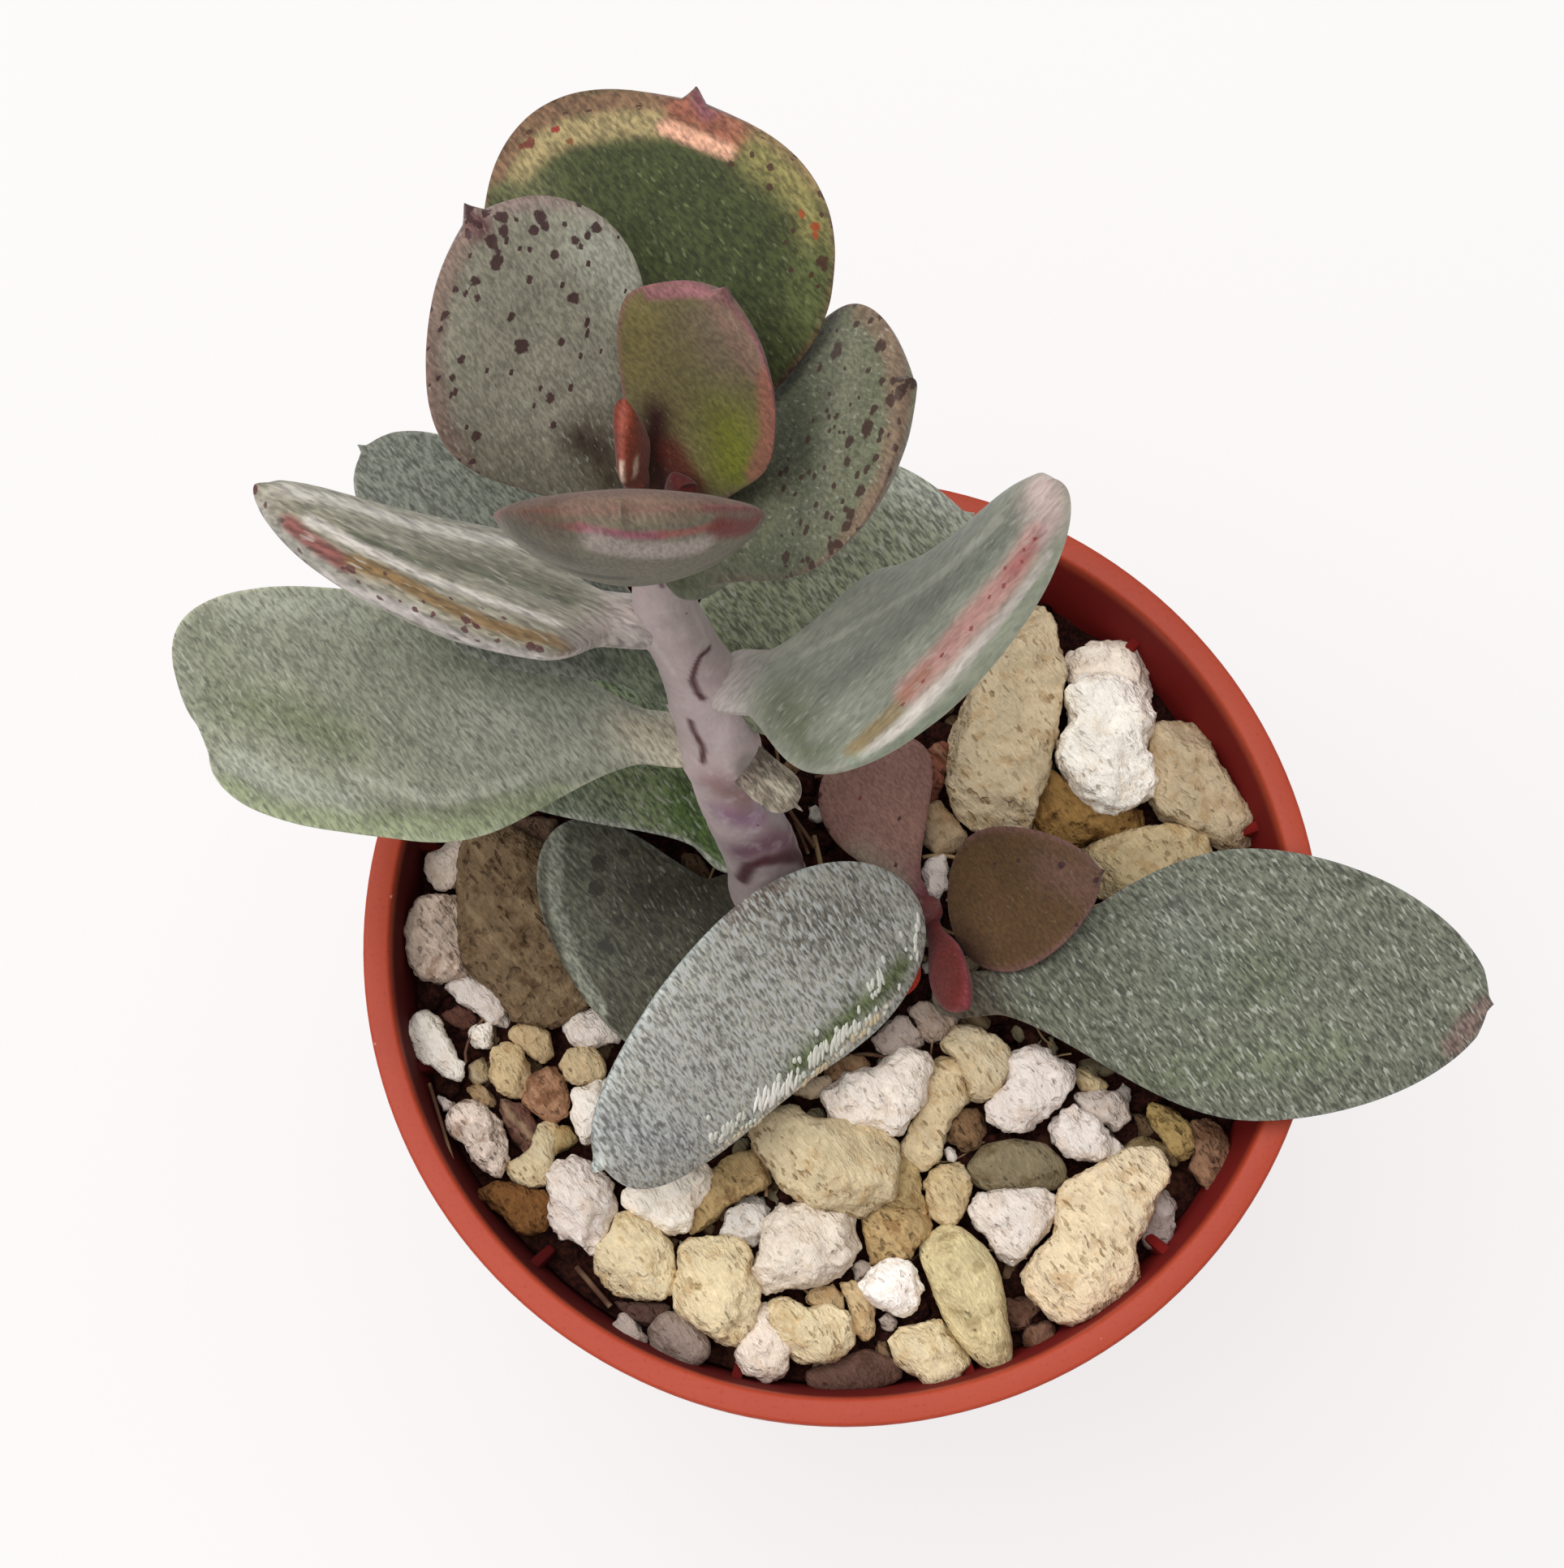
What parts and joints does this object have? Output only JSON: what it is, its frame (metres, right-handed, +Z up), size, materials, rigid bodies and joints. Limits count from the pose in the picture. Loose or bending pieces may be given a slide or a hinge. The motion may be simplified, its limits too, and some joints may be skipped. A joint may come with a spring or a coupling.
{
  "type": "potted adromischus",
  "caption": "Small leafy succulent with fleshy spotted leaves on a short bare stem, rooted with its offset in gritty mix in a round plastic nursery pot.",
  "frame": {"origin": "the middle of the pot's foot, on the surface that the pot stands on", "axes": "+Z up along the pot's axis; +Y away from the viewer of the picture, towards the crown's lean; +X to the viewer's right"},
  "size_m": [0.071, 0.0612, 0.0992],
  "materials": {
    "terracotta_plastic": "satin",
    "grit": "matte",
    "waxy_stem": "satin",
    "dry_leaf": "matte",
    "pale_leaf": "matte",
    "silver_leaf": "matte",
    "stippled_leaf": "matte",
    "spotted_leaf": "matte",
    "sunned_leaf": "satin",
    "young_leaf": "satin"
  },
  "bodies": {
    "root": {"pot": "terracotta_plastic", "potting_mix": "grit", "main_stem": "waxy_stem", "pup_stem": "young_leaf", "dry_leaf_base": "dry_leaf", "leaf_crown_back": "sunned_leaf", "leaf_crown_left": "spotted_leaf", "leaf_crown_right": "spotted_leaf", "leaf_crown_inner": "sunned_leaf", "leaf_crown_front": "sunned_leaf", "leaf_left_edge_on": "spotted_leaf", "leaf_right_boat": "pale_leaf", "leaf_left_broad": "pale_leaf", "leaf_right_back": "stippled_leaf", "leaf_left_back": "stippled_leaf", "leaf_low_left": "stippled_leaf", "leaf_low_front_left": "stippled_leaf", "leaf_front_silver": "silver_leaf", "leaf_far_right": "stippled_leaf", "bud_leaf": "young_leaf", "bud_tip": "young_leaf", "pup_leaf_back": "young_leaf", "pup_leaf_right": "young_leaf", "pup_leaf_front": "young_leaf", "pup_bud": "young_leaf"}
  },
  "joints": []
}
